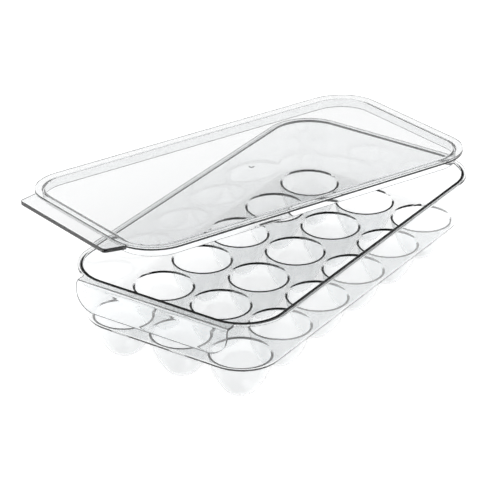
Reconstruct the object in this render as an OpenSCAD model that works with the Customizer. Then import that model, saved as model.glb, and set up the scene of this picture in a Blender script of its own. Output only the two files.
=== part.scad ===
// Clear egg keeper: a moulded tray with eighteen egg cups and a loose lift-off lid.
// The tray stands on its cups at Z = 0, its front faces -Y, and its plan centre is the origin.
// The lid lies askew on the rim, as it is left when the keeper has just been filled.

/* [Egg cups] */
// Number of cups along the tray
cups_long = 6; // [6:1:6]
// Number of cups across the tray
cups_wide = 3; // [3:1:3]
// Distance between the centres of neighbouring cups
cup_pitch = 50.3; // [48:0.1:51]
// Outer width of a cup at its mouth, under the floor
cup_d = 46; // [42:0.5:47]
// How far a cup hangs below the floor
cup_drop = 30.6; // [26:0.2:36]
// Radius of the narrow end of a cup
cup_tip_r = 17; // [14:0.5:19]
// Diameter of the flat foot under each cup
cup_foot_d = 12; // [6:0.5:16]
// Wall of a cup
cup_t = 1.8; // [1.4:0.1:2.4]
// How far above the mouth the side of a cup would be widest
cup_belly_rise = 4; // [0:0.5:6]
// Rounding of a cup's mouth where it meets the floor
mouth_r = 1.8; // [0.8:0.1:1.9]

/* [Tray] */
// Length of the rim opening
tray_len = 310; // [306:0.5:320]
// Width of the rim opening
tray_w = 162; // [158:0.5:170]
// Corner radius of the rim opening
rim_r = 32; // [20:1:34]
// Height from the underside of the floor to the top of the rim
tray_depth = 42; // [34:0.5:52]
// How far the walls lean in over that height
wall_lean = 4; // [1:0.25:4]
// Wall of the tray
wall_t = 2; // [1.5:0.1:2.6]
// Thickness of the floor between the cups
floor_t = 2; // [2:0.1:3]
// Width of the flat rim, measured from the opening
rim_w = 4; // [3:0.25:6]
// Thickness of the rim
rim_t = 2; // [1.4:0.1:3]

/* [Front pull] */
// Width of the pull
pull_w = 128; // [90:1:134]
// How far the pull stands out from the rim opening
pull_reach = 10.5; // [8:0.25:16]
// How far the pull hangs below the top of the rim
pull_drop = 23; // [18:0.5:32]
// Thickness of the pull
pull_t = 2; // [1.5:0.1:2.6]
// Radius of the pull's lower corners
pull_corner_r = 16; // [8:0.5:17]
// Radius of the bend between the rim and the pull
pull_bend_r = 3.5; // [3:0.25:5]

/* [Lid] */
// How far the lid reaches past the rim opening, all round
lid_overlap = 2; // [1.5:0.25:3.5]
// Thickness of the lid
lid_t = 2.6; // [1.8:0.1:3]
// Depth of the locating rib under the lid
rib_depth = 7.2; // [5:0.2:9]
// Thickness of the locating rib
rib_t = 1.8; // [1.4:0.1:2.4]
// Clearance between the rib and the rim opening when the lid is closed
rib_clear = 3.6; // [1.5:0.1:4]
// How far the grip tab reaches past the front edge of the lid
tab_len = 15; // [10:0.5:22]
// Width of the tab where it leaves the lid
tab_root_w = 120; // [90:1:126]
// Width of the tab at its front edge
tab_tip_w = 114; // [80:1:118]
// Corner radius of the tab
tab_corner_r = 4; // [2:0.5:8]
// Thickness of the tab
tab_t = 3.2; // [2.2:0.1:4]
// How far the top of the tab lies below the top of the lid
tab_step = 0.6; // [0.2:0.1:1.2]
// Diameter of the moulding mark at the middle of the lid
gate_d = 4; // [2:0.5:6]
// Height of the moulding mark
gate_h = 0.4; // [0.2:0.1:0.8]

/* [Where the lid lies] */
// Sideways place of the lid's middle
lid_x = -52; // [-60:0.5:-44]
// Lengthways place of the lid's middle
lid_y = 44.5; // [38:0.5:56]
// Turn of the lid about the vertical
lid_turn = -20.75; // [-24:0.25:-16]
// Bearing from +X toward which the lid leans down
lean_bearing = 149; // [143:1:152]
// Gap left between the lid and the rim where the lid rests
rest_gap = 0.25; // [0.15:0.05:0.5]

/* [Hidden] */
$fn = 96;

// Overshoot of a cut past the face that it opens
cut = 1;
clear_plastic = [0.86, 0.91, 0.93, 0.45];

// Heights in the tray
floor_bottom = cup_drop;
floor_top = floor_bottom + floor_t;
rim_top = floor_bottom + tray_depth;

// Arcs of a cup: a tip arc on the axis, and a side arc that runs into it
tip_z = sqrt(cup_tip_r * cup_tip_r - cup_foot_d * cup_foot_d / 4);
side_z = floor_bottom + cup_belly_rise;
arc_rise = side_z - tip_z;
side_r = (cup_d * cup_d / 4 + arc_rise * arc_rise - cup_tip_r * cup_tip_r) / (cup_d - 2 * cup_tip_r);
side_x = cup_d / 2 - side_r;
// Radius of the cup's inner face at the underside of the floor
mouth_inner_r = side_x + sqrt(pow(side_r - cup_t, 2) - pow(cup_belly_rise, 2));

// Centres of the rim's corner arcs
corner_x = tray_w / 2 - rim_r;
corner_y = tray_len / 2 - rim_r;

// The lid's outline, and the outline of the rib under it
lid_w = tray_w + 2 * lid_overlap;
lid_len = tray_len + 2 * lid_overlap;
lid_r = rim_r + lid_overlap;
rib_w = tray_w - 2 * rib_clear;
rib_len = tray_len - 2 * rib_clear;
rib_r = rim_r - rib_clear;

// Points along a rounded rectangle, about a millimetre apart
function outline_points(w, l, r) = concat(
    [for (s = [-1, 1], y = [-l / 2 + r : 1 : l / 2 - r]) [s * w / 2, y]],
    [for (s = [-1, 1], x = [-w / 2 + r : 1 : w / 2 - r]) [x, s * l / 2]],
    [for (sx = [-1, 1], sy = [-1, 1], a = [0 : 2 : 90])
        [sx * (w / 2 - r + r * cos(a)), sy * (l / 2 - r + r * sin(a))]]);

// How far a point lies outside a rounded rectangle, and below zero inside it
function outside(p, w, l, r) =
    norm([max(abs(p.x) - w / 2 + r, 0), max(abs(p.y) - l / 2 + r, 0)]) - r;

function over_rim(p) =
    outside(p, tray_w, tray_len, rim_r) > 0
    && outside(p, tray_w + 2 * rim_w, tray_len + 2 * rim_w, rim_r + rim_w) < 0;

function turned(p, a) = [p.x * cos(a) - p.y * sin(a), p.x * sin(a) + p.y * cos(a)];

// The lid rests on three points: its rib crosses the rim in two places, and its
// flat underside comes down on the rim's corner that lies furthest along the lean.
lean = [cos(lean_bearing), sin(lean_bearing)];
lid_at = [lid_x, lid_y];
rib_points = concat(
    outline_points(rib_w, rib_len, rib_r),
    outline_points(rib_w - 2 * rib_t, rib_len - 2 * rib_t, rib_r - rib_t));
rib_crossings = [for (p = rib_points) let (q = turned(p, lid_turn) + lid_at) if (over_rim(q)) q * lean];
rib_stop = max(rib_crossings);
corner_stop = corner_x * abs(lean.x) + corner_y * abs(lean.y) + rim_r + rim_w;
lean_slope = rib_depth / (corner_stop - rib_stop);
lid_z = rim_top + rest_gap + lean_slope * (rib_stop - lid_at * lean);

// Flat shape with round corners, centred on the origin
module rounded_rect(w, l, r) {
    square([w - 2 * r, l], center = true);
    square([w, l - 2 * r], center = true);
    for (sx = [-1, 1], sy = [-1, 1])
        translate([sx * (w / 2 - r), sy * (l / 2 - r)]) circle(r);
}

// Outline of the outer edge of the rim
module rim_outline() {
    rounded_rect(tray_w + 2 * rim_w, tray_len + 2 * rim_w, rim_r + rim_w);
}

// Solid between two heights whose sides lie a given distance outside the leaning inner wall
module leaning_block(grow, z0, z1) {
    low_r = rim_r + grow - wall_lean * (rim_top - z0) / tray_depth;
    high_r = rim_r + grow - wall_lean * (rim_top - z1) / tray_depth;
    for (sx = [-1, 1], sy = [-1, 1])
        translate([sx * corner_x, sy * corner_y, z0]) cylinder(h = z1 - z0, r1 = low_r, r2 = high_r);
    rotate([90, 0, 0]) linear_extrude(2 * corner_y, center = true)
        leaning_section(corner_x, low_r, high_r, z0, z1);
    rotate([90, 0, 90]) linear_extrude(2 * corner_x, center = true)
        leaning_section(corner_y, low_r, high_r, z0, z1);
}

// Cross section of that solid between two corner centres
module leaning_section(half, low_r, high_r, z0, z1) {
    polygon([[-half - low_r, z0], [half + low_r, z0], [half + high_r, z1], [-half - high_r, z1]]);
}

// Half section of a cup, shrunk by an inset, from a height up into the floor
module cup_half(inset, bottom) {
    turn_z = tip_z - (cup_tip_r - inset) * arc_rise / (side_r - cup_tip_r);
    intersection() {
        translate([0, tip_z]) circle(cup_tip_r - inset);
        translate([0, bottom]) square([cup_d, turn_z - bottom]);
    }
    intersection() {
        translate([side_x, side_z]) circle(side_r - inset, $fn = 256);
        translate([0, turn_z]) square([cup_d, floor_bottom + floor_t / 2 - turn_z]);
    }
}

// Opening of a cup through the floor, with its rounded edge
module mouth_half() {
    translate([0, floor_bottom - cut]) square([mouth_inner_r, floor_t + 2 * cut]);
    difference() {
        translate([0, floor_top - mouth_r]) square([mouth_inner_r + mouth_r, mouth_r + cut]);
        translate([mouth_inner_r + mouth_r, floor_top - mouth_r]) circle(mouth_r);
    }
}

// One egg cup with its own field of the tray floor
module egg_cup(across, along) {
    x = (across - (cups_wide - 1) / 2) * cup_pitch;
    y = (along - (cups_long - 1) / 2) * cup_pitch;
    // An outer field runs on to the tray's edge
    edge = tray_w;
    left = across == 0 ? edge : cup_pitch / 2;
    right = across == cups_wide - 1 ? edge : cup_pitch / 2;
    front = along == 0 ? edge : cup_pitch / 2;
    back = along == cups_long - 1 ? edge : cup_pitch / 2;
    color(clear_plastic) {
        difference() {
            intersection() {
                leaning_block(wall_t, floor_bottom, floor_top);
                translate([x - left, y - front, floor_bottom - cut])
                    cube([left + right, front + back, floor_t + 2 * cut]);
            }
            translate([x, y, 0]) rotate_extrude() mouth_half();
        }
        translate([x, y, 0]) rotate_extrude() difference() {
            cup_half(0, 0);
            cup_half(cup_t, cup_t);
        }
    }
}

// Leaning wall with the flat rim round its top
module tray_wall() {
    color(clear_plastic) difference() {
        union() {
            leaning_block(wall_t, floor_top, rim_top);
            translate([0, 0, rim_top - rim_t]) linear_extrude(rim_t) rim_outline();
        }
        leaning_block(0, floor_top - cut, rim_top + cut);
    }
}

// Side section of the pull: out from the rim, round the bend and down
module pull_section() {
    front = tray_len / 2 + pull_reach;
    translate([tray_len / 2, rim_top - rim_t]) square([pull_reach - pull_bend_r, rim_t]);
    translate([front - pull_t, rim_top - pull_drop]) square([pull_t, pull_drop - pull_bend_r]);
    intersection() {
        translate([front - pull_bend_r, rim_top - pull_bend_r]) difference() {
            circle(pull_bend_r);
            circle(pull_bend_r - pull_t);
        }
        translate([front - pull_bend_r, rim_top - pull_bend_r]) square(pull_bend_r);
    }
}

// Front view of the pull, with its round lower corners
module pull_face() {
    translate([-pull_w / 2, rim_top - pull_drop + pull_corner_r]) square([pull_w, pull_drop - pull_corner_r]);
    translate([-pull_w / 2 + pull_corner_r, rim_top - pull_drop])
        square([pull_w - 2 * pull_corner_r, pull_corner_r]);
    for (s = [-1, 1])
        translate([s * (pull_w / 2 - pull_corner_r), rim_top - pull_drop + pull_corner_r])
            circle(pull_corner_r);
}

// Pull at the front end, hanging from the rim
module front_pull() {
    color(clear_plastic) difference() {
        intersection() {
            rotate([90, 0, -90]) linear_extrude(pull_w, center = true) pull_section();
            translate([0, -tray_len / 2 - 2 * pull_reach, 0]) rotate([90, 0, 0])
                linear_extrude(4 * pull_reach, center = true) pull_face();
        }
        translate([0, 0, rim_top - rim_t - cut]) linear_extrude(rim_t + 2 * cut) rim_outline();
    }
}

// Places a lid piece, drawn level with the bottom of its rib at Z = 0, where the lid lies
module lay_lid() {
    translate([lid_x, lid_y, lid_z])
        rotate(a = atan(lean_slope), v = [-lean.y, lean.x, 0])
            rotate(lid_turn) children();
}

// Flat top of the lid with its moulding mark
module lid_panel() {
    color(clear_plastic) lay_lid() {
        translate([0, 0, rib_depth]) linear_extrude(lid_t) rounded_rect(lid_w, lid_len, lid_r);
        translate([0, 0, rib_depth]) cylinder(h = lid_t + gate_h, d = gate_d);
    }
}

// Rib under the lid that drops inside the rim
module lid_locating_rib() {
    color(clear_plastic) lay_lid() linear_extrude(rib_depth) difference() {
        rounded_rect(rib_w, rib_len, rib_r);
        rounded_rect(rib_w - 2 * rib_t, rib_len - 2 * rib_t, rib_r - rib_t);
    }
}

// Tapered outline of the tab
module tab_outline() {
    tip_y = -lid_len / 2 - tab_len;
    hull() {
        for (s = [-1, 1])
            translate([s * (tab_tip_w / 2 - tab_corner_r), tip_y + tab_corner_r]) circle(tab_corner_r, $fn = 32);
        translate([-tab_root_w / 2, -lid_len / 2]) square([tab_root_w, lid_r / 2]);
    }
}

// Thick grip tab at the front of the lid, a small step below its top
module lid_grip_tab() {
    color(clear_plastic) lay_lid()
        translate([0, 0, rib_depth + lid_t - tab_step - tab_t]) linear_extrude(tab_t) difference() {
            tab_outline();
            rounded_rect(lid_w, lid_len, lid_r);
        }
}

for (across = [0 : cups_wide - 1], along = [0 : cups_long - 1])
    egg_cup(across, along);
tray_wall();
front_pull();
lid_panel();
lid_locating_rib();
lid_grip_tab();
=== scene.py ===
"""Clear egg keeper: the looks of the moulded tray and of its loose lid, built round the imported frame.

Sizes are millimetres in the frame's own axes and become metres when a mesh is made.
Each of the two mouldings is one closed mesh, so that light bends only at real surfaces.
"""

import math

import bmesh
import bpy
from mathutils import Matrix, Vector


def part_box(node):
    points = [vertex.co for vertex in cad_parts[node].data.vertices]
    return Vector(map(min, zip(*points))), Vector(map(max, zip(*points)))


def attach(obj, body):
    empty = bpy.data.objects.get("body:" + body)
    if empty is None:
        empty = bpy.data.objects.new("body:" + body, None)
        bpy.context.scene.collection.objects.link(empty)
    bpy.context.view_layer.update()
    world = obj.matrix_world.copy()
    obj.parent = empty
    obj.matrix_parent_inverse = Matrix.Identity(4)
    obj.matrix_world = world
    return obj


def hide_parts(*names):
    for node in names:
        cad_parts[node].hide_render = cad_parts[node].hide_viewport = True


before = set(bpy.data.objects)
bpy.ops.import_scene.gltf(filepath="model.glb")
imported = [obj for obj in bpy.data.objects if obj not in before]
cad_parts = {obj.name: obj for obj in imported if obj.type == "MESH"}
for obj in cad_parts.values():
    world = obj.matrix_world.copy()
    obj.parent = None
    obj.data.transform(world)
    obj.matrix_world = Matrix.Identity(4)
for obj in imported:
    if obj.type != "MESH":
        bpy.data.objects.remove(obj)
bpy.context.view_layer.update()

MM = 0.001


def node_box(node):
    """Lowest and highest corner of a CAD node, in millimetres."""
    low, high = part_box(node)
    return low / MM, high / MM


# Heights and outline of the tray, from the frame
wall_low, wall_high = node_box("tray_wall")
pull_low, pull_high = node_box("front_pull")
cell_low, cell_high = node_box("egg_cup_b3")
RIM_TOP = wall_high.z
FLOOR_TOP = wall_low.z
PITCH = cell_high.x - cell_low.x
PULL_FRONT = -pull_low.y
PULL_BOTTOM = pull_low.z
PULL_HALF = pull_high.x

# Tray sizes that the frame's boxes don't give
RIM_R = 32
RIM_W = 4
RIM_T = 2
WALL_T = 2
FLOOR_T = 2
WALL_LEAN = 4
TRAY_DEPTH = 42
PULL_T = 2
PULL_CORNER_R = 16
PULL_BEND_R = 3.5
FLOOR_BOTTOM = FLOOR_TOP - FLOOR_T

# Distance from the tray's centre to the centres of its corner arcs, which the lid shares
CORNER = Vector((wall_high.x - RIM_W - RIM_R, wall_high.y - RIM_W - RIM_R))

# Egg cups
CUPS_WIDE, CUPS_LONG = 3, 6
CUP_D = 46
CUP_TIP_R = 17
CUP_FOOT_D = 12
CUP_T = 1.8
CUP_BELLY_RISE = 4
MOUTH_R = 1.8

# Lid sizes
LID_OVERLAP = 2
LID_T = 2.6
RIB_DEPTH = 7.2
RIB_T = 1.8
RIB_CLEAR = 3.6
TAB_LEN = 15
TAB_ROOT_W = 120
TAB_TIP_W = 114
TAB_CORNER_R = 4
TAB_T = 3.2
TAB_STEP = 0.6
GATE_D = 4
GATE_H = 0.4
LID_TURN = math.radians(-20.75)
LEAN_BEARING = math.radians(149)

# Small roundings that a mould leaves on every edge
EDGE_R = 0.3
RIM_EDGE_R = 0.8
STEP_EDGE_R = 0.25
FLOOR_FILLET = 1.2
INNER_FILLET = 0.8
RIB_FILLET = 0.4
CUP_FILLET = 0.5
RIB_EDGE_R = 0.5

# Fineness of the meshes, in steps along an arc or an edge
CELL_STEPS = 16
ARC_STEPS = 6
EDGE_STEPS = 4
CUP_TIP_STEPS = 8
CUP_SIDE_STEPS = 10
RIB_STEPS = 4
SMALL_ARC_STEPS = 3
LID_SIDE_STEPS = 12
LID_BACK_CORNER_STEPS = 20
LID_FRONT_CORNER_STEPS = 16

# Where rows of points lie along a flat stretch, as shares of its length
WALL_SHARES = (0.01, 0.1, 0.3, 0.5, 0.7, 0.9, 0.99)
PULL_TOP_SHARES = (0.3, 0.7)
PULL_FACE_SHARES = (0.08, 0.3, 0.6, 0.92, 1)
TAB_SHARES = (0.04, 0.3, 0.6, 0.88, 0.97, 1)

# Width of the narrow flat bands that keep shading true beside a rounding
BAND = 0.3
# Points closer together than this become one
WELD = 0.002
# Distances that differ by less than this are the same
NEAR = 0.001
# Keeps a division by a direction's part from being a division by zero
TINY = 1e-9

LEAN_ANGLE = math.atan(WALL_LEAN / TRAY_DEPTH)


# Round outline shared by the tray and the lid: arcs about four corner centres
ARC = RIM_R * math.pi / 2
AROUND = 4 * (CORNER.x + CORNER.y + ARC)
SIDES = [
    (Vector((1, 0)), Vector((0, -1)), CORNER.x, CORNER.y),
    (Vector((0, 1)), Vector((1, 0)), CORNER.y, CORNER.x),
    (Vector((-1, 0)), Vector((0, 1)), CORNER.x, CORNER.y),
    (Vector((0, -1)), Vector((-1, 0)), CORNER.y, CORNER.x),
]


def station(t):
    """Anchor on the corner-centre rectangle and outward direction, at distance t from the front's middle."""
    t = (t + CORNER.x) % AROUND
    for along, out, half, depth in SIDES:
        if t <= 2 * half:
            return out * depth + along * (t - half), out
        t -= 2 * half
        if t <= ARC:
            turn = t / ARC * math.pi / 2
            return out * depth + along * half, out * math.cos(turn) + along * math.sin(turn)
        t -= ARC
    return station(0)


def distance_round(p):
    """The distance t whose station lies under a point outside the corner-centre rectangle."""
    t = -CORNER.x
    for along, out, half, depth in SIDES:
        u, v = p.dot(along), p.dot(out)
        if v > depth and abs(u) <= half:
            return t + u + half
        t += 2 * half
        if v > depth and u > half:
            return t + math.atan2(u - half, v - depth) / (math.pi / 2) * ARC
        t += ARC
    raise ValueError(f"{p} lies inside the corner-centre rectangle")


def on_outline(t, radius, z):
    """The point at distance t round, with its radius from the corner-centre rectangle and its height."""
    anchor, out = station(t)
    p = anchor + out * radius
    return Vector((p.x, p.y, z))


class Moulding:
    """Points and faces of one closed mesh, in millimetres."""

    def __init__(self):
        self.points = []
        self.faces = []

    def row(self, points):
        start = len(self.points)
        self.points += [Vector(p) for p in points]
        return list(range(start, len(self.points)))

    def join(self, a, b, closed=False):
        """Faces between two rows of the same length."""
        count = len(a)
        for i in range(count if closed else count - 1):
            j = (i + 1) % count
            self.faces.append((a[i], a[j], b[j], b[i]))

    def join_all(self, rows, closed=False):
        for a, b in zip(rows, rows[1:]):
            self.join(a, b, closed)

    def cap(self, row):
        """A fan from the middle of a closed row."""
        middle = sum((self.points[i] for i in row), Vector()) / len(row)
        centre = self.row([middle])[0]
        for i, j in zip(row, row[1:] + row[:1]):
            self.faces.append((i, j, centre))

    def object(self, name, placed=Matrix.Identity(4)):
        """The finished Blender object, welded, with its faces turned outward."""
        mesh = bpy.data.meshes.new(name)
        mesh.from_pydata([placed @ (p * MM) for p in self.points], [], self.faces)
        made = bmesh.new()
        made.from_mesh(mesh)
        bmesh.ops.remove_doubles(made, verts=made.verts, dist=WELD * MM)
        bmesh.ops.recalc_face_normals(made, faces=made.faces)
        for face in made.faces:
            face.smooth = True
        made.to_mesh(mesh)
        made.free()
        obj = bpy.data.objects.new(name, mesh)
        bpy.context.scene.collection.objects.link(obj)
        return obj


def arc(centre, radius, start, end, steps):
    """Points (r, z) of an arc between two angles, both ends included."""
    return [
        (centre[0] + radius * math.cos(start + (end - start) * i / steps),
         centre[1] + radius * math.sin(start + (end - start) * i / steps))
        for i in range(steps + 1)
    ]


# Egg cups

def cup_profile(inset, foot_z, plane_z, mouth_r):
    """Half section (r, z) of one face of a cup, from its foot up to the flat floor."""
    tip_z = math.sqrt(CUP_TIP_R**2 - CUP_FOOT_D**2 / 4)
    side_z = FLOOR_BOTTOM + CUP_BELLY_RISE
    rise = side_z - tip_z
    side_r = (CUP_D**2 / 4 + rise**2 - CUP_TIP_R**2) / (CUP_D - 2 * CUP_TIP_R)
    side_x = CUP_D / 2 - side_r
    tip = CUP_TIP_R - inset
    side = side_r - inset
    foot_angle = -math.acos((tip_z - foot_z) / tip) + math.pi / 2
    turn_angle = math.asin(rise / (side_r - CUP_TIP_R))
    top_angle = math.asin((side_z - plane_z + mouth_r) / side)
    mouth_x = side_x + side * math.cos(top_angle)
    tip_arc = arc((0, tip_z), tip, -foot_angle, -turn_angle, CUP_TIP_STEPS)
    side_arc = arc((side_x, side_z), side, -turn_angle, -top_angle, CUP_SIDE_STEPS)
    mouth_arc = arc((mouth_x + mouth_r, plane_z - mouth_r), mouth_r, math.pi, math.pi / 2, ARC_STEPS)
    foot = tip_arc[0]
    band = (foot[0] - BAND, foot[1])
    return [band] + tip_arc + side_arc[1:] + mouth_arc[1:] + [(mouth_arc[-1][0] + BAND / 2, plane_z)]


def cell_boundary(across, along, outline_r):
    """Directions from a cup's centre to the edge of its field of floor, with the points that they meet."""
    centre = Vector(((across - (CUPS_WIDE - 1) / 2) * PITCH, (along - (CUPS_LONG - 1) / 2) * PITCH))
    limit = Vector((CORNER.x + outline_r, CORNER.y + outline_r))
    left = PITCH / 2 if across > 0 else limit.x + centre.x
    right = PITCH / 2 if across < CUPS_WIDE - 1 else limit.x - centre.x
    front = PITCH / 2 if along > 0 else limit.y + centre.y
    back = PITCH / 2 if along < CUPS_LONG - 1 else limit.y - centre.y
    corners = [(right, back), (-left, back), (-left, -front), (right, -front)]
    edge_x, edge_y = across in (0, CUPS_WIDE - 1), along in (0, CUPS_LONG - 1)
    if edge_x and edge_y:
        rounded = (0 if centre.x > 0 else 1) if centre.y > 0 else (2 if centre.x < 0 else 3)
        corners.pop(rounded)
        corners = corners[rounded:] + corners[:rounded]
    turns = [math.atan2(y, x) for x, y in corners]
    spans = [(b - a) % (2 * math.pi) for a, b in zip(turns, turns[1:] + turns[:1])]
    counts = [CELL_STEPS] * len(spans)
    if len(spans) == 3:
        counts[-1] = 2 * CELL_STEPS
    points, on_wall = [], []
    for start, span, count in zip(turns, spans, counts):
        for i in range(count):
            turn = start + span * i / count
            way = Vector((math.cos(turn), math.sin(turn)))
            reach = min(
                (right if way.x > 0 else left) / max(abs(way.x), TINY),
                (back if way.y > 0 else front) / max(abs(way.y), TINY),
            )
            p = centre + way * reach
            past = Vector((abs(p.x) - CORNER.x, abs(p.y) - CORNER.y))
            if min(past) > 0:
                corner = Vector((math.copysign(CORNER.x, p.x), math.copysign(CORNER.y, p.y)))
                away = centre - corner
                b = away.dot(way)
                reach = -b + math.sqrt(b * b - away.length_squared + outline_r**2)
                p = centre + way * reach
                past = Vector((abs(p.x) - CORNER.x, abs(p.y) - CORNER.y))
            edge = max(past.x, past.y) if min(past) <= 0 else past.length
            points.append((way, p))
            if edge > outline_r - NEAR:
                on_wall.append(distance_round(p))
    return centre, points, on_wall


def floor_skin(made, inset, foot_z, plane_z, mouth_r, outline_r):
    """One face of the floor with all its cups. Gives the distances round at which it meets the wall."""
    profile = cup_profile(inset, foot_z, plane_z, mouth_r)
    met = []
    for across in range(CUPS_WIDE):
        for along in range(CUPS_LONG):
            centre, boundary, on_wall = cell_boundary(across, along, outline_r)
            rows = [
                made.row([(*(centre + way * r), z) for way, p in boundary]) for r, z in profile
            ]
            rows.append(made.row([(p.x, p.y, plane_z) for way, p in boundary]))
            made.join_all(rows, closed=True)
            made.cap(rows[0])
            met += on_wall
    met = sorted((t + NEAR) % AROUND - NEAR for t in met)
    return [t for i, t in enumerate(met) if i == 0 or t - met[i - 1] > NEAR]


# Front pull, which leaves the rim in a run of columns on either side of its middle
PULL_FLAT_STEPS, PULL_CORNER_STEPS = 13, 8
PULL_STEPS = PULL_FLAT_STEPS + PULL_CORNER_STEPS


def pull_columns():
    """For each column from the middle out: its x, the bottom of its face and the way its edge rounds."""
    flat_half = PULL_HALF - PULL_CORNER_R
    corner_r = PULL_CORNER_R - EDGE_R
    columns = [
        (flat_half * i / PULL_FLAT_STEPS, PULL_BOTTOM + EDGE_R, Vector((0, 0, -1)))
        for i in range(PULL_FLAT_STEPS + 1)
    ]
    for i in range(1, PULL_CORNER_STEPS + 1):
        turn = math.pi / 2 * i / PULL_CORNER_STEPS
        columns.append((
            flat_half + corner_r * math.sin(turn),
            PULL_BOTTOM + PULL_CORNER_R - corner_r * math.cos(turn),
            Vector((math.sin(turn), 0, -math.cos(turn))),
        ))
    return columns


def distance_at(x, radius):
    """Distance round, from the front's middle, at which an outline has a given x."""
    past = x - CORNER.x
    return x if past <= 0 else CORNER.x + math.asin(past / radius) / (math.pi / 2) * ARC


def signed(columns, side):
    """The same columns on the right for a side of 1, or mirrored to the left for a side of -1."""
    return [(side * x, z, Vector((side * way.x, way.y, way.z))) for x, z, way in columns]


def pull_skin(made, rim_row, inset, columns):
    """One face of the pull. Gives its rows of points, each from its left end to its right end."""
    plane = RIM_TOP - inset
    bend = (PULL_FRONT - PULL_BEND_R, RIM_TOP - PULL_BEND_R)
    bend_r = PULL_BEND_R - inset
    grids = []
    for (x, bottom, way), start in zip(columns, rim_row):
        rim_y = -made.points[start].y
        path = [(rim_y + (bend[0] - rim_y) * share, plane) for share in PULL_TOP_SHARES]
        path += arc(bend, bend_r, math.pi / 2, 0, ARC_STEPS)
        face_y = bend[0] + bend_r
        path += [(face_y, bend[1] + (bottom - bend[1]) * share) for share in PULL_FACE_SHARES]
        grids.append([(x, -y, z) for y, z in path])
    rows = [rim_row] + [made.row([grid[i] for grid in grids]) for i in range(len(grids[0]))]
    made.join_all(rows)
    return rows


def wall_skin(made, distances, grow, plane_low, plane_high, floor_r, edge_r, outline_r, rim_at):
    """One face of the wall and the rim, from the floor to the rim's border. Gives the border's row."""
    def wall_radius(z):
        return RIM_R + grow - (RIM_TOP - z) * math.tan(LEAN_ANGLE)

    foot = arc((outline_r, plane_low + floor_r), floor_r, -math.pi / 2, -LEAN_ANGLE, ARC_STEPS)
    edge_z = plane_high - edge_r
    edge_x = wall_radius(edge_z) + edge_r / math.cos(LEAN_ANGLE)
    head = arc((edge_x, edge_z), edge_r, math.pi - LEAN_ANGLE, math.pi / 2, ARC_STEPS)
    wall = [
        (foot[-1][0] + (head[0][0] - foot[-1][0]) * s, foot[-1][1] + (head[0][1] - foot[-1][1]) * s)
        for s in WALL_SHARES
    ]
    border = RIM_R + RIM_W - EDGE_R
    flat = [(head[-1][0] + BAND / 2, plane_high), (border - BAND / 2, plane_high), (border, plane_high)]
    shares = [0] * len(foot) + list(WALL_SHARES) + [1] * (len(head) + len(flat))
    rows = []
    for (radius, z), share in zip(foot + wall + head + flat, shares):
        rows.append(made.row([
            on_outline(t + (rim_at[i] - t) * share, radius, z) for i, t in enumerate(distances)
        ]))
    made.join_all(rows, closed=True)
    return rows[-1]


def rounded_edge(a, b, way):
    """Points between two borders, over a square edge with small round corners that stands out a given way."""
    across = (b - a).normalized() * EDGE_R
    turns = [math.pi / 2 * i / EDGE_STEPS for i in range(1, EDGE_STEPS + 1)]
    first = [a + way * (EDGE_R * math.sin(turn)) + across * (1 - math.cos(turn)) for turn in turns]
    last = [b + way * (EDGE_R * math.sin(turn)) - across * (1 - math.cos(turn)) for turn in reversed(turns)]
    return first + last


def join_borders(made, top, bottom, ways):
    """Faces round the edge between two closed borders, which stands out the way given at each place."""
    edges = [rounded_edge(made.points[a], made.points[b], way) for a, b, way in zip(top, bottom, ways)]
    made.join_all([top] + [made.row(points) for points in zip(*edges)] + [bottom], closed=True)


def mitred(a, b):
    """The way that reaches one unit along both of two directions."""
    return (a + b) / (1 + a.dot(b))


def under_flap(border, columns):
    """The run of a border's points that a flap in front leaves from, from its left root to its right root."""
    steps = len(columns) // 2
    return border[-steps:] + border[:steps + 1]


def round_flap(border, rows, columns):
    """A closed border that follows a flap's own edge in place of the run under it, from the right root on."""
    steps = len(columns) // 2
    right_side = [row[-1] for row in rows]
    left_side = [row[0] for row in rows]
    return right_side[:1] + border[steps + 1:-steps] + left_side + rows[-1][1:-1] + right_side[:0:-1]


def ways_round_flap(distances, columns, depth):
    """The way the edge stands out at each point of such a border, with a flap that is depth rows deep."""
    steps = len(columns) // 2
    right, left = columns[-1][-1], columns[0][-1]
    plain = [Vector((*station(t)[1], 0)) for t in distances[steps:-steps]]
    root = mitred(plain[0], right)
    return (
        [root] + plain[1:] + [Vector((-root.x, root.y, 0))] + [left] * (depth - 1)
        + [column[-1] for column in columns[1:-1]] + [right] * (depth - 1)
    )


def build_tray():
    """The whole tray: an upper and a lower skin of floor, wall, rim and pull, joined round their border."""
    made = Moulding()
    columns = pull_columns()
    border_r = RIM_R + RIM_W - EDGE_R
    columns = signed(columns[:0:-1], -1) + columns
    pull_at = [math.copysign(distance_at(abs(x), border_r), x) for x, z, way in columns]
    borders = []
    for grow, inset, foot_z, low, high, mouth_r, floor_r, edge_r in (
        (0, CUP_T, CUP_T, FLOOR_TOP, RIM_TOP, MOUTH_R, FLOOR_FILLET, RIM_EDGE_R),
        (WALL_T, 0, 0, FLOOR_BOTTOM, RIM_TOP - RIM_T, CUP_FILLET, FLOOR_FILLET + WALL_T, INNER_FILLET),
    ):
        tangent = floor_r * math.tan(math.pi / 4 - LEAN_ANGLE / 2)
        outline_r = RIM_R + grow - (RIM_TOP - low) * math.tan(LEAN_ANGLE) - tangent
        distances = floor_skin(made, inset, foot_z, low, mouth_r, outline_r)
        rim_at = list(distances)
        for i, t in enumerate(pull_at):
            rim_at[i - PULL_STEPS] = t + (AROUND if t < -NEAR else 0)
        border = wall_skin(made, distances, grow, low, high, floor_r, edge_r, outline_r, rim_at)
        inner = 0 if grow == 0 else PULL_T
        rows = pull_skin(made, under_flap(border, columns), inner, columns)
        borders.append(round_flap(border, rows, columns))
    join_borders(made, *borders, ways_round_flap(rim_at, columns, len(rows)))
    return made.object("tray_moulding")


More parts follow.
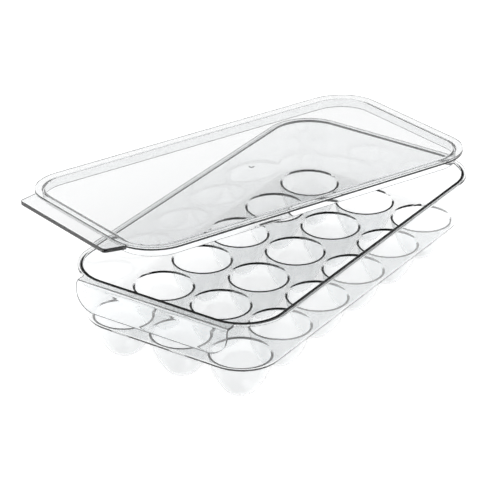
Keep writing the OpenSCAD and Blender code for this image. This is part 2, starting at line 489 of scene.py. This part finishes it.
# Lid, drawn level with the bottom of its rib at zero height
LID_R = RIM_R + LID_OVERLAP
LID_TOP = RIB_DEPTH + LID_T
LID_BORDER_R = LID_R - EDGE_R
TAB_FLAT_STEPS, TAB_CORNER_STEPS = 14, 7
TAB_STEPS = TAB_FLAT_STEPS + TAB_CORNER_STEPS
TAB_FRONT = CORNER.y + LID_R + TAB_LEN
TAB_CORNER = Vector((TAB_TIP_W / 2 - TAB_CORNER_R, -TAB_FRONT + TAB_CORNER_R))
TAB_TOP = LID_TOP - TAB_STEP
TAB_BOTTOM = TAB_TOP - TAB_T


def tab_taper():
    """Angle of the tab's side edges away from straight ahead."""
    root = Vector((TAB_ROOT_W / 2, -CORNER.y - LID_R))
    back = root - TAB_CORNER
    return math.atan2(back.x, back.y) - math.asin(TAB_CORNER_R / back.length)


def tab_columns():
    """For each column, left to right: its x on the border, its end at the tip and the way its edge faces."""
    taper = tab_taper()
    corner_r = TAB_CORNER_R - EDGE_R
    ends = [
        (Vector((TAB_CORNER.x * i / TAB_FLAT_STEPS, -TAB_FRONT + EDGE_R)), Vector((0, -1, 0)))
        for i in range(TAB_FLAT_STEPS + 1)
    ]
    for i in range(1, TAB_CORNER_STEPS + 1):
        turn = (math.pi / 2 - taper) * i / TAB_CORNER_STEPS
        way = Vector((math.sin(turn), -math.cos(turn)))
        ends.append((TAB_CORNER + way * corner_r, Vector((*way, 0))))
    # The side edge runs back from the last end until it meets the lid's border arc
    along = Vector((math.sin(taper), math.cos(taper)))
    away = ends[-1][0] - Vector((CORNER.x, -CORNER.y))
    b = away.dot(along)
    root_x = ends[-1][0].x + along.x * (-b - math.sqrt(b * b - away.length_squared + LID_BORDER_R**2))
    widen = root_x / ends[-1][0].x
    right = [(end.x * widen, end, way) for end, way in ends]
    left = [
        (-x, Vector((-end.x, end.y)), Vector((-way.x, way.y, 0))) for x, end, way in right[:0:-1]
    ]
    return left + right


def lid_distances(columns):
    """Distances round the lid, finest on the corners, with the tab's columns in front."""
    front = [math.copysign(distance_at(abs(x), LID_BORDER_R), x) for x, end, way in columns]
    distances = front[TAB_STEPS:]
    arc_end = CORNER.x + ARC
    marks = [(arc_end, LID_FRONT_CORNER_STEPS)]
    for along, out, half, depth in SIDES[1:]:
        side_end = marks[-1][0] + 2 * half
        marks += [(side_end, LID_SIDE_STEPS), (side_end + ARC, LID_BACK_CORNER_STEPS)]
    marks[-1] = (AROUND + front[0], LID_FRONT_CORNER_STEPS)
    for end, steps in marks:
        start = distances[-1]
        distances += [start + (end - start) * i / steps for i in range(1, steps + 1)]
    return distances[:-1] + [AROUND + t for t in front[:TAB_STEPS]]


def tab_skin(made, border_run, columns, step):
    """One face of the tab, past a step at its root. Gives its rows of points, each from left to right."""
    starts = [made.points[i].xy for i in border_run]
    ends = [end for x, end, way in columns]
    alongs = [(end - start).normalized() for start, end in zip(starts, ends)]
    rows = [border_run]
    for distance, z in step:
        rows.append(made.row([(*(start + along * distance), z) for start, along in zip(starts, alongs)]))
    roots = [made.points[i].xy for i in rows[-1]]
    for share in TAB_SHARES:
        rows.append(made.row([(*root.lerp(end, share), z) for root, end in zip(roots, ends)]))
    made.join_all(rows)
    return rows


def lid_top_skin(made, distances):
    """Flat top of the lid round its moulding mark. Gives the border's row."""
    rounding = GATE_H / 2
    gate_r = GATE_D / 2
    gate = [(gate_r - rounding - BAND, LID_TOP + GATE_H)]
    upper = (gate_r - rounding, LID_TOP + GATE_H - rounding)
    lower = (gate_r + rounding, LID_TOP + rounding)
    gate += arc(upper, rounding, math.pi / 2, 0, SMALL_ARC_STEPS)
    gate += arc(lower, rounding, math.pi, 1.5 * math.pi, SMALL_ARC_STEPS)
    gate += [(gate_r + rounding + BAND, LID_TOP)]
    ways = [on_outline(t, LID_BORDER_R, 0).xy.normalized() for t in distances]
    rows = [made.row([(*(way * r), z) for way in ways]) for r, z in gate]
    made.cap(rows[0])
    rows += [
        made.row([on_outline(t, r, LID_TOP) for t in distances])
        for r in (0, LID_BORDER_R / 2, LID_BORDER_R - BAND, LID_BORDER_R)
    ]
    made.join_all(rows, closed=True)
    return rows[-1]


def lid_bottom_skin(made, distances):
    """Underside of the lid with its locating rib. Gives the border's row."""
    rib_r = RIM_R - RIB_CLEAR
    inner_r = rib_r - RIB_T
    f, e = RIB_FILLET, RIB_EDGE_R
    quarter = math.pi / 2
    profile = [(0, RIB_DEPTH), (inner_r - f - BAND, RIB_DEPTH)]
    profile += arc((inner_r - f, RIB_DEPTH - f), f, quarter, 0, RIB_STEPS)
    profile += arc((inner_r + e, e), e, 2 * quarter, 3 * quarter, RIB_STEPS)
    profile += arc((rib_r - e, e), e, 3 * quarter, 4 * quarter, RIB_STEPS)
    profile += arc((rib_r + f, RIB_DEPTH - f), f, 2 * quarter, quarter, RIB_STEPS)
    profile += [(rib_r + f + BAND, RIB_DEPTH), (LID_BORDER_R - BAND, RIB_DEPTH), (LID_BORDER_R, RIB_DEPTH)]
    rows = [made.row([on_outline(t, r, z) for t in distances]) for r, z in profile]
    made.cap(rows[0])
    made.join_all(rows, closed=True)
    return rows[-1]


def lid_place():
    """Where the lid lies: its middle and its lean come from the frame's box of its panel."""
    low, high = node_box("lid_panel")
    middle = (low + high) / 2
    bearing = LEAN_BEARING - LID_TURN
    reach = 2 * (CORNER.x * abs(math.cos(bearing)) + CORNER.y * abs(math.sin(bearing)) + LID_R)
    lean = math.asin((high.z - low.z) / math.hypot(reach, LID_T)) - math.atan(LID_T / reach)
    axis = Vector((-math.sin(LEAN_BEARING), math.cos(LEAN_BEARING), 0))
    return (
        Matrix.Translation(middle * MM)
        @ Matrix.Rotation(lean, 4, axis)
        @ Matrix.Rotation(LID_TURN, 4, "Z")
        @ Matrix.Translation((0, 0, -(RIB_DEPTH + LID_T / 2) * MM))
    )


def build_lid():
    """The whole lid: an upper and a lower skin of panel, rib and tab, joined round their border."""
    made = Moulding()
    columns = tab_columns()
    distances = lid_distances(columns)
    quarter = math.pi / 2
    r, f, steps = STEP_EDGE_R, EDGE_R, SMALL_ARC_STEPS
    top_step = arc((f - r, LID_TOP - r), r, quarter, 0, steps)
    top_step += arc((f + r, TAB_TOP + r), r, 2 * quarter, 3 * quarter, steps)[1:]
    bottom_step = arc((0, RIB_DEPTH - f), f, quarter, 0, steps)[1:]
    bottom_step += arc((f + r, TAB_BOTTOM + r), r, 2 * quarter, 3 * quarter, steps)
    borders = []
    for skin, step in ((lid_top_skin, top_step), (lid_bottom_skin, bottom_step)):
        border = skin(made, distances)
        rows = tab_skin(made, under_flap(border, columns), columns, step)
        borders.append(round_flap(border, rows, columns))
    join_borders(made, *borders, ways_round_flap(distances, columns, len(rows)))
    return made.object("lid_moulding", lid_place())


tray = build_tray()
lid = build_lid()


# Materials

# Clear plastic: its tint and bending, what depth swallows, its polish, its flow waves and its shadow's tint
PLASTIC_TINT = (0.985, 0.992, 0.995, 1)
PLASTIC_IOR = 1.57
DEPTH_TINT = (0.2, 0.21, 0.215, 1)
DEPTH_DENSITY = 24.0
POLISH_SCALE = 38.0
POLISH_SMOOTHEST, POLISH_ROUGHEST = 0.004, 0.035
FLOW_SCALE = 14.0
FLOW_STRENGTH = 0.12
LAMP_TINT = (0.975, 0.978, 0.98, 1)

# Floor: its white and grain, its lift where it is looked at, and where, in metres, it dims for the plastic
FLOOR_WHITE = (0.8, 0.8, 0.8, 1)
GRAIN_SCALE = 400.0
GRAIN_STRENGTH = 0.03
FLOOR_LIFT = 0.69
FLOOR_DIM = (0.12, 0.12, 0.12, 1)
DIM_FROM, DIM_TO = 0.7, 1.3

# World: strengths of its light, of the room that the plastic mirrors, and of the white behind the object
WORLD_LIGHT, WORLD_ROOM, WORLD_WHITE = 0.75, 0.15, 1.2


def node(tree, kind, **values):
    """A shader node with its named inputs set."""
    made = tree.nodes.new(kind)
    for name, value in values.items():
        made.inputs[name.replace("_", " ")].default_value = value
    return made


def math_node(tree, operation, a, b):
    """The result of an operation on two sockets or numbers."""
    made = tree.nodes.new("ShaderNodeMath")
    made.operation = operation
    for socket, value in zip(made.inputs, (a, b)):
        if isinstance(value, (int, float)):
            socket.default_value = value
        else:
            tree.links.new(value, socket)
    return made.outputs[0]


def new_material(name):
    """A material with nothing in it but its output, as the material, its node tree and that output."""
    mat = bpy.data.materials.new(name)
    mat.use_nodes = True
    tree = mat.node_tree
    tree.nodes.clear()
    return mat, tree, tree.nodes.new("ShaderNodeOutputMaterial")


def light_path(tree, *kinds):
    """One for rays of any of the kinds named."""
    ray = tree.nodes.new("ShaderNodeLightPath")
    found = ray.outputs[kinds[0]]
    for kind in kinds[1:]:
        found = math_node(tree, "MAXIMUM", found, ray.outputs[kind])
    return found


def mixed(tree, factor, first, second):
    """Two shaders mixed by a factor."""
    mix = tree.nodes.new("ShaderNodeMixShader")
    for socket, value in zip(mix.inputs, (factor, first, second)):
        tree.links.new(value, socket)
    return mix.outputs[0]


def clear_plastic(name):
    """Glossy clear moulded plastic. Long ways through it, as along its edges, come out dark."""
    mat, tree, output = new_material(name)
    link = tree.links.new
    body = node(
        tree, "ShaderNodeBsdfPrincipled",
        Base_Color=PLASTIC_TINT, IOR=PLASTIC_IOR, Transmission_Weight=1.0,
    )
    place = tree.nodes.new("ShaderNodeTexCoord")
    # Polish: mostly bright, with faint cloudy patches where the mould is worn
    cloud = node(tree, "ShaderNodeTexNoise", Scale=POLISH_SCALE, Detail=4.0, Roughness=0.6)
    link(place.outputs["Object"], cloud.inputs["Vector"])
    polish = tree.nodes.new("ShaderNodeMapRange")
    polish.inputs["To Min"].default_value = POLISH_SMOOTHEST
    polish.inputs["To Max"].default_value = POLISH_ROUGHEST
    link(cloud.outputs["Fac"], polish.inputs["Value"])
    link(polish.outputs["Result"], body.inputs["Roughness"])
    # Flow: the long shallow waves that moulded sheets show in a reflection
    flow = node(tree, "ShaderNodeTexNoise", Scale=FLOW_SCALE, Detail=1.0)
    link(place.outputs["Object"], flow.inputs["Vector"])
    bump = node(tree, "ShaderNodeBump", Strength=FLOW_STRENGTH, Distance=0.001)
    link(flow.outputs["Fac"], bump.inputs["Height"])
    link(bump.outputs["Normal"], body.inputs["Normal"])
    # Rays from lamps pass straight through, so that the plastic casts only a pale shadow
    clear = node(tree, "ShaderNodeBsdfTransparent", Color=LAMP_TINT)
    surface = mixed(tree, light_path(tree, "Is Shadow Ray"), body.outputs[0], clear.outputs[0])
    link(surface, output.inputs["Surface"])
    inside = node(tree, "ShaderNodeVolumeAbsorption", Color=DEPTH_TINT, Density=DEPTH_DENSITY)
    link(inside.outputs[0], output.inputs["Volume"])
    return mat


# Rays that the object mirrors or bends
THROUGH_PLASTIC = ("Is Glossy Ray", "Is Transmission Ray")


def pale_floor():
    """Matt white table, lifted to the photo's plain white, and far out dim for rays through the plastic."""
    mat, tree, output = new_material("pale_board")
    link = tree.links.new
    board = node(tree, "ShaderNodeBsdfPrincipled", Base_Color=FLOOR_WHITE, Roughness=0.9)
    grain = node(tree, "ShaderNodeTexNoise", Scale=GRAIN_SCALE, Detail=3.0)
    bump = node(tree, "ShaderNodeBump", Strength=GRAIN_STRENGTH, Distance=0.0005)
    link(grain.outputs["Fac"], bump.inputs["Height"])
    link(bump.outputs["Normal"], board.inputs["Normal"])
    lift = node(tree, "ShaderNodeEmission", Color=(1, 1, 1, 1))
    seen = light_path(tree, "Is Camera Ray", *THROUGH_PLASTIC)
    link(math_node(tree, "MULTIPLY", seen, FLOOR_LIFT), lift.inputs["Strength"])
    both = tree.nodes.new("ShaderNodeAddShader")
    link(board.outputs[0], both.inputs[0])
    link(lift.outputs[0], both.inputs[1])
    place = tree.nodes.new("ShaderNodeTexCoord")
    reach = tree.nodes.new("ShaderNodeVectorMath")
    reach.operation = "LENGTH"
    link(place.outputs["Object"], reach.inputs[0])
    away = tree.nodes.new("ShaderNodeMapRange")
    away.interpolation_type = "SMOOTHSTEP"
    away.inputs["From Min"].default_value = DIM_FROM
    away.inputs["From Max"].default_value = DIM_TO
    link(reach.outputs["Value"], away.inputs["Value"])
    dim = node(tree, "ShaderNodeBsdfDiffuse", Color=FLOOR_DIM)
    beyond = math_node(tree, "MULTIPLY", away.outputs["Result"], light_path(tree, *THROUGH_PLASTIC))
    link(mixed(tree, beyond, both.outputs[0], dim.outputs[0]), output.inputs["Surface"])
    return mat


tray.data.materials.append(clear_plastic("clear_tray_plastic"))
lid.data.materials.append(clear_plastic("clear_lid_plastic"))

TRAY_NODES = [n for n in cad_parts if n.startswith("egg_cup_")] + ["tray_wall", "front_pull"]
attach(tray, "tray")
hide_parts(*TRAY_NODES)
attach(lid, "lid")
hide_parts("lid_panel", "lid_locating_rib", "lid_grip_tab")


# Floor, a hair under the feet so that the faces don't coincide
FLOOR_HALF = 6
FLOOR_GAP = 0.0002
bpy.ops.mesh.primitive_plane_add(size=2 * FLOOR_HALF, location=(0, 0, -FLOOR_GAP))
floor = bpy.context.object
floor.name = "floor"
floor.data.materials.append(pale_floor())


# World: plain soft light, white to the camera, and a dim room where the plastic mirrors or bends it
world = bpy.data.worlds.new("studio")
bpy.context.scene.world = world
world.use_nodes = True
tree = world.node_tree
tree.nodes.clear()
light, room, white = (
    node(tree, "ShaderNodeBackground", Color=(1, 1, 1, 1), Strength=strength).outputs[0]
    for strength in (WORLD_LIGHT, WORLD_ROOM, WORLD_WHITE)
)
unseen = mixed(tree, light_path(tree, *THROUGH_PLASTIC), light, room)
sky = mixed(tree, light_path(tree, "Is Camera Ray"), unseen, white)
tree.links.new(sky, tree.nodes.new("ShaderNodeOutputWorld").inputs["Surface"])

# Softbox high on the left, for a gentle shadow
SOFTBOX_SIZE = 1.6
SOFTBOX_POWER = 9
SOFTBOX_PLACE = Vector((-0.9, -0.5, 1.9))

lamp = bpy.data.lights.new("softbox", "AREA")
lamp.shape = "SQUARE"
lamp.size = SOFTBOX_SIZE
lamp.energy = SOFTBOX_POWER
softbox = bpy.data.objects.new("softbox", lamp)
softbox.location = SOFTBOX_PLACE
softbox.rotation_euler = (-SOFTBOX_PLACE).to_track_quat("-Z", "Y").to_euler()
bpy.context.scene.collection.objects.link(softbox)


# Camera at the photo's viewing angle
CAMERA_AZIMUTH = math.radians(32.84)
CAMERA_ELEVATION = math.radians(27.76)
CAMERA_ROLL = 0.01235
CAMERA_DISTANCE = 2.1254
CAMERA_TARGET = Vector((9.9, -55.6, 72.6)) * MM
CAMERA_LENS = 213.3
SENSOR_WIDTH = 36
CLIP_START, CLIP_END = 0.1, 50

# Walls of plastic that a ray may pass before it is given up
BOUNCES = 24

camera = bpy.data.objects.new("camera", bpy.data.cameras.new("camera"))
camera.data.lens = CAMERA_LENS
camera.data.sensor_width = SENSOR_WIDTH
camera.data.clip_start = CLIP_START
camera.data.clip_end = CLIP_END
back = Vector((
    math.sin(CAMERA_AZIMUTH) * math.cos(CAMERA_ELEVATION),
    -math.cos(CAMERA_AZIMUTH) * math.cos(CAMERA_ELEVATION),
    math.sin(CAMERA_ELEVATION),
))
turn = back.to_track_quat("Z", "Y").to_matrix() @ Matrix.Rotation(CAMERA_ROLL, 3, "Z")
camera.matrix_world = Matrix.Translation(CAMERA_TARGET + back * CAMERA_DISTANCE) @ turn.to_4x4()
bpy.context.scene.collection.objects.link(camera)
bpy.context.scene.camera = camera

bpy.context.scene.view_settings.view_transform = "Standard"
bpy.context.scene.cycles.max_bounces = BOUNCES
bpy.context.scene.cycles.transmission_bounces = BOUNCES
